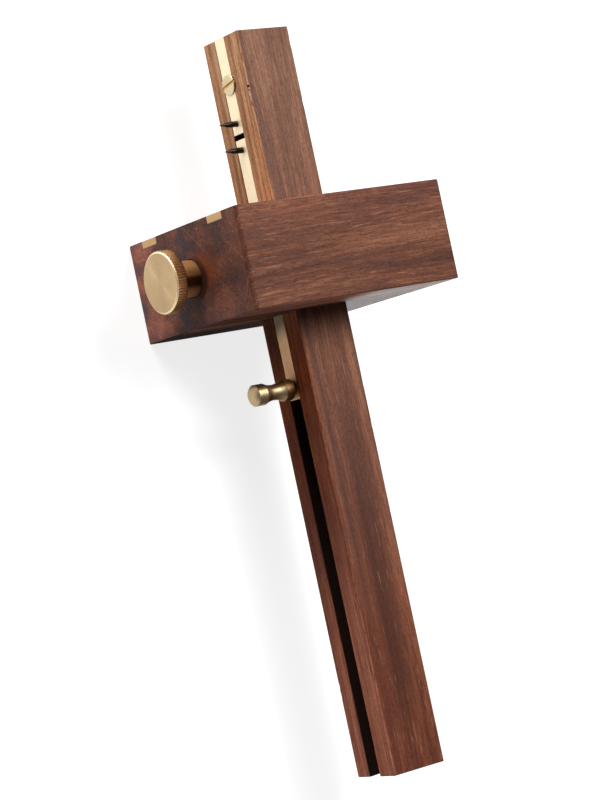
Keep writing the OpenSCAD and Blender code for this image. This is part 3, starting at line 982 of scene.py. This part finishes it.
class GAUGE_OT_slide_brass(Operator):
    """Draw the dovetail plate and the dovetail slide bar"""

    bl_idname = "gauge.slide_brass"
    bl_label = "Plate and Slide Bar"
    bl_options = {"REGISTER", "UNDO"}

    def execute(self, context):
        sizes = context.scene.gauge_brass
        bar_low, bar_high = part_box("slide_bar")
        plate_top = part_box("fixed_plate")[1].y
        shade_start_y, shade_full_y = bar_low.y + 0.030, bar_low.y + 0.016
        darkens, clears = (-0.0235, -0.0165), (0.004, 0.012)  # places in y by the fence

        # Painted shade on the lower bar, darker and browner towards its foot.
        def handled(metal, position):
            return metal.fade(metal.split(position)[1], shade_start_y, shade_full_y, 0.0, 0.75)

        # Painted shade where the bar goes into the stock.
        def shade_at_fence(metal, position):
            clouds = metal.noise(metal.stretch(position, (260, 90, 260)), detail=3)
            y = metal.plus(metal.split(position)[1], metal.times(clouds, 0.004))
            return metal.times(metal.fade(y, *darkens, 0.0, 0.8), metal.fall(y, *clears))

        # Painted shade on the ends of the bar and the plate in the gap between them, fainter on the plate's
        # outer end.
        def shaded_ends(metal, position):
            ends = metal.fade(metal.facing()[1], 0.5, 0.8, 0.0, 0.95)
            outer = metal.fade(metal.split(position)[1], plate_top - 0.002, plate_top - 0.001, 1.0, 0.35)
            return metal.times(ends, outer)

        marks = drawn((5200, 45, 5200))
        stains_and_shade = (
            (handled, (0.53, 0.265, 0.105), 0.1),
            (shade_at_fence, (0.10, 0.04, 0.018), 0.1),
            (shaded_ends, (0.04, 0.02, 0.01), 0.2),
        )
        material = brass(
            "drawn_slide_brass",
            sizes.slide,
            marks,
            roughness=0.60,
            depth=0.000005,
            cloudy=0.4,
            stains_and_shade=stains_and_shade,
        )
        z = (bar_low.z + bar_high.z) / 2
        face_w = sizes.slide_face_w
        for node, name, body in (("fixed_plate", "pin_plate", "stem"), ("slide_bar", "slide_rail", "slide")):
            low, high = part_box(node)
            base_w = face_w + dovetail_slope(sizes) * (high.x - low.x)
            piece = dovetail(name, low.x, high.x, low.y, high.y, z, face_w, base_w)
            round_sharp_edges(piece, sizes.edge, segments=3)
            finish_piece(piece, material, body, "slide_brass", node, weighted=True)
        return {"FINISHED"}


class GAUGE_OT_plate_screw(Operator):
    """Turn the slotted screw that holds the plate"""

    bl_idname = "gauge.plate_screw"
    bl_label = "Plate Screw"
    bl_options = {"REGISTER", "UNDO"}

    def execute(self, context):
        sizes = context.scene.gauge_brass
        low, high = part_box("plate_screw")
        centre = middle("plate_screw")
        face_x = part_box("stem")[0].x
        head_r = (high.y - low.y) / 2
        shank_r = head_r / 2
        point_r, point_l = 0.0001, 0.003
        rim, rim_t, rim_step, shoulder_t, dome = 0.0001, 0.00016, 0.00005, 0.00012, 0.0001
        outline = [
            (high.x, point_r),
            (high.x - point_l, shank_r),
            (face_x, shank_r),
            (face_x, head_r - rim),
            (face_x - shoulder_t, head_r),
            (low.x + dome + rim_t, head_r),
            (low.x + dome + rim_step, head_r - rim),
        ]
        for part in (1.0, 0.8, 0.6, 0.4, 0.2, 0.02):
            outline.append((low.x + dome * part * part, (head_r - 2 * rim) * part))
        screw = turned("slotted_plate_screw", outline, centre.y, centre.z)

        slot = block(
            "slot",
            Vector((low.x - OVER, centre.y - sizes.slot_w / 2, centre.z - head_r - OVER)),
            Vector((low.x + sizes.slot_t, centre.y + sizes.slot_w / 2, centre.z + head_r + OVER)),
        )
        pick(slot, "VERT", lambda vertex: True)
        bpy.ops.transform.rotate(value=-sizes.slot_angle, orient_axis="X", center_override=tuple(centre))
        bpy.ops.object.mode_set(mode="OBJECT")
        carve(screw, slot)
        across = (0.0, math.cos(sizes.slot_angle), math.sin(sizes.slot_angle))

        wall = sizes.slot_w / 2

        # Painted reflection of the wood: the slot's walls and floor are painted orange tan.
        def slot_reflection(metal, position):
            away = metal.vector("SUBTRACT", position, tuple(centre))
            away = metal.math("ABSOLUTE", metal.vector("DOT_PRODUCT", away, across, output="Value"))
            deep = metal.fade(metal.split(position)[0], low.x + 0.00012, low.x + 0.0003, 0.0, 0.85)
            return metal.times(deep, metal.fall(away, wall + NEAR, wall + 6 * NEAR))

        stains_and_shade = ((slot_reflection, (0.62, 0.36, 0.11), 0.1),)
        marks = lathe(centre.y, centre.z)
        material = brass(
            "turned_screw_brass", sizes.screw, marks, roughness=0.40, depth=0.000008, stains_and_shade=stains_and_shade
        )
        finish_piece(screw, material, "stem", "turned_brass", "plate_screw")
        return {"FINISHED"}


class GAUGE_OT_pins(Operator):
    """Turn the three hardened steel pins"""

    bl_idname = "gauge.pins"
    bl_label = "Pins"
    bl_options = {"REGISTER", "UNDO"}

    def execute(self, context):
        steel = context.scene.gauge_steel
        material = blued_steel("blued_pin_steel", steel.blue)
        rings, tip_r = 20, 0.00003
        for node, name, body, side in (
            ("fixed_pin", "fixed_scriber", "stem", -1),
            ("moving_pin", "moving_scriber", "slide", -1),
            ("marking_pin", "single_scriber", "stem", 1),
        ):
            low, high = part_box(node)
            centre = middle(node)
            radius = (high.y - low.y) / 2
            root, tip = (high.x, low.x) if side < 0 else (low.x, high.x)
            shoulder = tip - side * steel.pin_point
            outline = [(root, radius), (shoulder, radius)]
            for i in range(1, rings + 1):
                part = i / rings
                x = shoulder + side * steel.pin_point * part
                outline.append((x, max(tip_r, radius * (1 - part**1.5))))
            pin = turned(name, outline, centre.y, centre.z, columns=48)
            finish_piece(pin, material, body, "pin_steel", node)
        return {"FINISHED"}


class GAUGE_OT_knob(Operator):
    """Turn the pull knob of the slide bar"""

    bl_idname = "gauge.knob"
    bl_label = "Knob"
    bl_options = {"REGISTER", "UNDO"}

    def execute(self, context):
        sizes = context.scene.gauge_brass
        low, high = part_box("slide_knob")
        centre = middle("slide_knob")
        face_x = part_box("stem")[0].x
        radius = (high.y - low.y) / 2
        neck, chamfer, collar, hollow, grip, dome = 0.0004, 0.001, 0.003, 0.0074, 0.0034, 0.0015
        stud_r, neck_r, waist_r = 0.0015, 0.0023, 0.0025
        edge = 0.00012
        collar_x = face_x - neck - chamfer - collar
        waist_x = collar_x - hollow / 2
        dome_x = collar_x - hollow - grip
        outline = [
            (high.x, stud_r),
            (face_x, stud_r),
            (face_x, neck_r),
            (face_x - neck, neck_r),
            (face_x - neck - chamfer + edge, radius - edge),
            (face_x - neck - chamfer - edge, radius),
            (collar_x + edge, radius),
        ]
        rings = 16
        for i in range(-rings, rings + 1):
            part = i / rings
            outline.append((waist_x - hollow / 2 * part, waist_r + (radius - waist_r) * part * part))
        outline.append((dome_x + edge, radius))
        cap_r = radius - edge
        ball_r = (cap_r * cap_r + dome * dome) / (2 * dome)
        spread = math.asin(cap_r / ball_r)
        dome_rings, dome_steps = 15, 14.2  # the last ring stops just short of the axis
        for i in range(dome_rings):
            turn = spread * (1 - i / dome_steps)
            outline.append((dome_x - dome + ball_r * (1 - math.cos(turn)), ball_r * math.sin(turn)))
        knob = turned("slide_pull", outline, centre.y, centre.z, columns=128)

        # Painted shade and reflections: dark above and below the grip's lit band, on the collar and in a
        # ring behind the grip.
        def painted_knob_shade(metal, position):
            x, across, reach = metal.around(position, centre.y, centre.z)
            turn = metal.math("DIVIDE", across, reach)
            sides = metal.plus(metal.fade(turn, 0.30, 0.44, 0.0, 0.85), metal.fall(turn, -0.90, -0.62, 0.50))
            sides = metal.times(sides, metal.fade(x, dome_x - 0.0002, dome_x + 0.0001))
            collared = metal.fade(x, collar_x - 0.0003, collar_x, 0.10, 0.88)
            shoulder = metal.fall(metal.gap(x, collar_x - hollow + 0.0012), 0.0006, 0.0018, 0.65)
            return metal.most(sides, metal.most(collared, shoulder))

        marks = lathe(centre.y, centre.z)
        stains_and_shade = ((painted_knob_shade, (0.20, 0.092, 0.036), 0.0),)
        material = brass(
            "turned_knob_brass", sizes.knob, marks, roughness=0.47, depth=0.000003, stains_and_shade=stains_and_shade
        )
        finish_piece(knob, material, "slide", "turned_brass", "slide_knob", angle=math.radians(24))
        return {"FINISHED"}


def knurled_head(sizes, front_x, radius, y, z):
    """The thumbscrew's head, with a bevel on each side and a furrow pressed in between its knurls."""
    back_x = front_x + sizes.head_t
    bevel = sizes.head_bevel
    columns = 4 * sizes.knurl_count
    hub_r, ledge = 0.0005, 0.00004
    foot_r = radius - sizes.knurl_t - ledge
    outline = [
        (back_x, hub_r),
        (back_x, sizes.boss_d / 2),
        (back_x, radius - bevel),
        (back_x - bevel, radius),
        (front_x + bevel, radius),
        (front_x + 0.9 * bevel, foot_r),
        (front_x + 0.1 * bevel, foot_r - 0.7 * bevel),
        (front_x, foot_r - 0.9 * bevel),
    ]
    outline += [(front_x, radius * part) for part in (0.85, 0.6, 0.35, 0.1)]
    head = turned("knurled_head", outline, y, z, columns)

    def column(vertex):
        turn = math.atan2(vertex.co.z - z, vertex.co.y - y) / math.tau
        reach = math.hypot(vertex.co.z - z, vertex.co.y - y)
        return round(turn * columns) % 4 if reach > radius * 0.99 else 0

    for wanted, depth in (((2,), sizes.knurl_t), ((1, 3), 0.5 * sizes.knurl_t)):
        shrink = 1 - depth / radius
        resize(head, "VERT", lambda vertex: column(vertex) in wanted, (1, shrink, shrink), (front_x, y, z))

    def between_knurls(metal, position):
        x, _, reach = metal.around(position, y, z)
        deep = metal.fade(reach, radius - 0.9 * sizes.knurl_t, radius - 0.1 * sizes.knurl_t, 0.90, 0.40)
        return metal.times(deep, metal.fade(x, front_x + 0.85 * bevel, front_x + 1.1 * bevel))

    # Painted highlight: the front bevel is painted a brighter brass all round.
    def rim(metal, position):
        x, _, reach = metal.around(position, y, z)
        inner = metal.fade(reach, foot_r - 0.95 * bevel, foot_r - 0.75 * bevel)
        return metal.times(inner, metal.fall(x, front_x + 0.9 * bevel, front_x + bevel, 0.75))

    material = brass(
        "turned_head_brass",
        sizes.turned,
        lathe(y, z),
        roughness=0.30,
        depth=0.000006,
        anisotropy=0.85,
        cloudy=0.8,
        stains_and_shade=((between_knurls, (0.37, 0.145, 0.044), 0.1), (rim, (0.95, 0.74, 0.44), -0.05)),
    )
    finish_piece(head, material, "thumbscrew", "turned_brass", "thumbscrew", angle=math.radians(26))


def boss_brass(sizes, y, z):
    """The thumbscrew's brass behind the head, with painted shade in a band below its axis."""

    def shaded(metal, position):
        height = metal.minus(metal.split(position)[1], y)
        return metal.times(metal.fall(height, -0.0006, 0.0005, 0.92), metal.fade(height, -0.0040, -0.0024))

    stains_and_shade = ((shaded, (0.100, 0.042, 0.012), 0.0),)
    return brass(
        "turned_boss_brass", sizes.boss, lathe(y, z), roughness=0.55, depth=0.000003, stains_and_shade=stains_and_shade
    )


def cut_thread(sizes, root_x, tip_x, edge, y, z):
    """The thumbscrew's thread, drawn in to a helix, and the spigot at its tip."""
    columns, rings_in_turn, steepness = 48, 8, 2.4
    pitch = sizes.thread_pitch
    major = sizes.thread_d / 2
    spigot_r = sizes.spigot_d / 2
    shank_x = tip_x - sizes.spigot_l
    rings = round((shank_x - root_x + OVER) / pitch * rings_in_turn)
    outline = [(tip_x, spigot_r - edge), (tip_x - edge, spigot_r), (shank_x, spigot_r)]
    outline += [(shank_x - pitch * i / rings_in_turn, major) for i in range(rings + 1)]
    thread = turned("thumbscrew_thread", outline, y, z, columns)

    def phase(vertex):
        reach = math.hypot(vertex.co.y - y, vertex.co.z - z)
        turn = math.atan2(vertex.co.z - z, vertex.co.y - y) / math.tau
        step = round(((shank_x - vertex.co.x) / pitch + turn) * columns) % columns
        return min(step, columns - step) if reach > 0.99 * major else 0

    phases = [phase(vertex) for vertex in thread.data.vertices]
    for step in range(1, columns // 2 + 1):
        shrink = 1 - sizes.thread_t / major * min(1.0, steepness * step / columns)
        resize(thread, "VERT", lambda vertex: phases[vertex.index] == step, (1, shrink, shrink), (0, y, z))
    return thread


class GAUGE_OT_thumbscrew(Operator):
    """Turn, knurl and thread the thumbscrew"""

    bl_idname = "gauge.thumbscrew"
    bl_label = "Thumbscrew"
    bl_options = {"REGISTER", "UNDO"}

    def execute(self, context):
        sizes = context.scene.gauge_brass
        low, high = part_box("thumbscrew")
        centre = middle("thumbscrew")
        y, z = centre.y, centre.z
        knurled_head(sizes, low.x, (high.y - low.y) / 2, y, z)

        edge = 0.00015
        boss_r = sizes.boss_d / 2
        back_x = low.x + sizes.head_t
        boss_x = back_x + sizes.boss_l
        outline = [(boss_x, boss_r - edge)] + [(x, boss_r) for x in (boss_x - edge, back_x, back_x - edge)]
        boss = turned("thumbscrew_boss", outline, y, z, columns=128)
        thread = cut_thread(sizes, boss_x, high.x, edge, y, z)
        material = boss_brass(sizes, y, z)
        for piece in (boss, thread):
            finish_piece(piece, material, "thumbscrew", "turned_brass", "thumbscrew")
        return {"FINISHED"}


class GAUGE_OT_inner_brass(Operator):
    """Finish the threaded bush and the pressure shoe inside the stock"""

    bl_idname = "gauge.inner_brass"
    bl_label = "Bush and Shoe"
    bl_options = {"REGISTER", "UNDO"}

    def execute(self, context):
        sizes = context.scene.gauge_brass
        centre = middle("threaded_insert")
        marks = lathe(centre.y, centre.z)
        material = brass("turned_bush_brass", sizes.turned, marks, roughness=0.36, depth=0.000006)
        for node in ("threaded_insert", "pressure_shoe"):
            paint(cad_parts[node], material)
        return {"FINISHED"}


class GAUGE_OT_stage(Operator):
    """Set the camera, the lamps and the pale floor"""

    bl_idname = "gauge.stage"
    bl_label = "Stage"
    bl_options = {"REGISTER", "UNDO"}

    def execute(self, context):
        scene = context.scene
        stage = scene.gauge_stage
        scene.view_settings.view_transform = "Standard"

        data = bpy.data.cameras.new("picture_camera")
        data.lens = stage.lens
        data.sensor_width = 36.0
        data.shift_x = stage.shift_x
        data.shift_y = stage.shift_y
        data.clip_start = 0.01
        data.clip_end = 100.0
        camera = bpy.data.objects.new("picture_camera", data)
        scene.collection.objects.link(camera)
        back = -Vector(stage.camera_view).normalized()
        right = Vector(stage.camera_up).cross(back).normalized()
        axes = Matrix((right, back.cross(right), back)).transposed()
        camera.matrix_world = Matrix.Translation(Vector(stage.camera_place)) @ axes.to_4x4()
        scene.camera = camera
        lamp(scene, "key_lamp", stage.key_way, stage.key)
        lamp(scene, "front_lamp", stage.front_way, stage.front)

        start()
        bpy.ops.mesh.primitive_plane_add(size=30.0, location=(0.0, 0.0, 0.0))
        floor = settle(bpy.context.object, "studio_floor")
        floor.data.materials.append(pale_floor("pale_floor", stage.floor, stage.floor_glow))
        scene.world = even_sky("even_sky", stage.sky)
        return {"FINISHED"}


def lamp(scene, name, direction, power):
    """A square soft lamp that faces the gauge."""
    stage = scene.gauge_stage
    data = bpy.data.lights.new(name, "AREA")
    data.size = stage.lamp_size
    data.energy = power
    spot = bpy.data.objects.new(name, data)
    scene.collection.objects.link(spot)
    gauge = Vector((0.0, 0.0, 0.03))
    away = Vector(direction).normalized()
    turn = away.to_track_quat("Z", "Y").to_matrix().to_4x4()
    spot.matrix_world = Matrix.Translation(gauge + away * stage.lamp_distance) @ turn


def seen_directly(finish):
    """1 where the camera, a reflection or a clear view meets the surface, and 0 for its light elsewhere."""
    path = finish.add("LightPath")
    return finish.most(*(path.outputs["Is %s Ray" % ray] for ray in ("Camera", "Glossy", "Transmission")))


def pale_floor(name, tint, glow):
    """A matt pale floor that keeps its shadows and is lifted to white where it is seen."""
    ground = Finish(name)
    look = {"Base Color": (*tint, 1.0), "Roughness": 0.9, "Specular IOR Level": 0.1}
    matt = ground.add("BsdfPrincipled", look)
    light = ground.add("Emission", {"Strength": ground.times(seen_directly(ground), glow)})
    both = ground.add("AddShader", {0: matt.outputs["BSDF"], 1: light.outputs["Emission"]})
    ground.add("OutputMaterial", {"Surface": both.outputs["Shader"]})
    return ground.material


def even_sky(name, strength):
    """Faint even light, with a white backdrop low down where it is seen."""
    sky = Finish(name, bpy.data.worlds.new(name))
    up = sky.split(sky.add("TexCoord").outputs["Generated"])[2]
    backdrop = sky.fade(up, 0.10, 0.40, 1.0, strength)
    level = sky.plus(sky.times(seen_directly(sky), sky.minus(backdrop, strength)), strength)
    light = sky.add("Background", {"Strength": level, "Color": (1.0, 1.0, 1.0, 1.0)})
    sky.add("OutputWorld", {"Surface": light.outputs["Background"]})
    return sky.material


STEPS = (
    GAUGE_OT_stage,
    GAUGE_OT_stem,
    GAUGE_OT_stock,
    GAUGE_OT_wear_strips,
    GAUGE_OT_slide_brass,
    GAUGE_OT_plate_screw,
    GAUGE_OT_pins,
    GAUGE_OT_knob,
    GAUGE_OT_thumbscrew,
    GAUGE_OT_inner_brass,
)

SETTINGS = {
    "gauge_wood": WoodSettings,
    "gauge_brass": BrassSettings,
    "gauge_steel": SteelSettings,
    "gauge_stage": StageSettings,
}


class GAUGE_PT_panel(Panel):
    """Lists the gauge's pieces and their settings"""

    bl_idname = "GAUGE_PT_panel"
    bl_label = "Marking Gauge"
    bl_space_type = "VIEW_3D"
    bl_region_type = "UI"
    bl_category = "Gauge"

    def draw(self, context):
        layout = self.layout
        for step in STEPS:
            layout.operator(step.bl_idname, text=step.bl_label)
        for group, settings in SETTINGS.items():
            box = layout.box()
            box.label(text=settings.__doc__)
            for name in settings.__annotations__:
                box.prop(getattr(context.scene, group), name)


def register():
    """Makes the settings, the operators and the panel known to Blender."""
    for group, settings in SETTINGS.items():
        bpy.utils.register_class(settings)
        setattr(bpy.types.Scene, group, PointerProperty(type=settings))
    for step in STEPS:
        bpy.utils.register_class(step)
    bpy.utils.register_class(GAUGE_PT_panel)


def unregister():
    """Takes back what register made known."""
    bpy.utils.unregister_class(GAUGE_PT_panel)
    for step in reversed(STEPS):
        bpy.utils.unregister_class(step)
    for group, settings in SETTINGS.items():
        delattr(bpy.types.Scene, group)
        bpy.utils.unregister_class(settings)


def main():
    """Builds the gauge and its stage."""
    register()
    bpy.ops.gauge.stage()
    bpy.ops.gauge.stem()
    bpy.ops.gauge.stock()
    bpy.ops.gauge.wear_strips()
    bpy.ops.gauge.slide_brass()
    bpy.ops.gauge.plate_screw()
    bpy.ops.gauge.pins()
    bpy.ops.gauge.knob()
    bpy.ops.gauge.thumbscrew()
    bpy.ops.gauge.inner_brass()


if __name__ == "__main__":
    main()
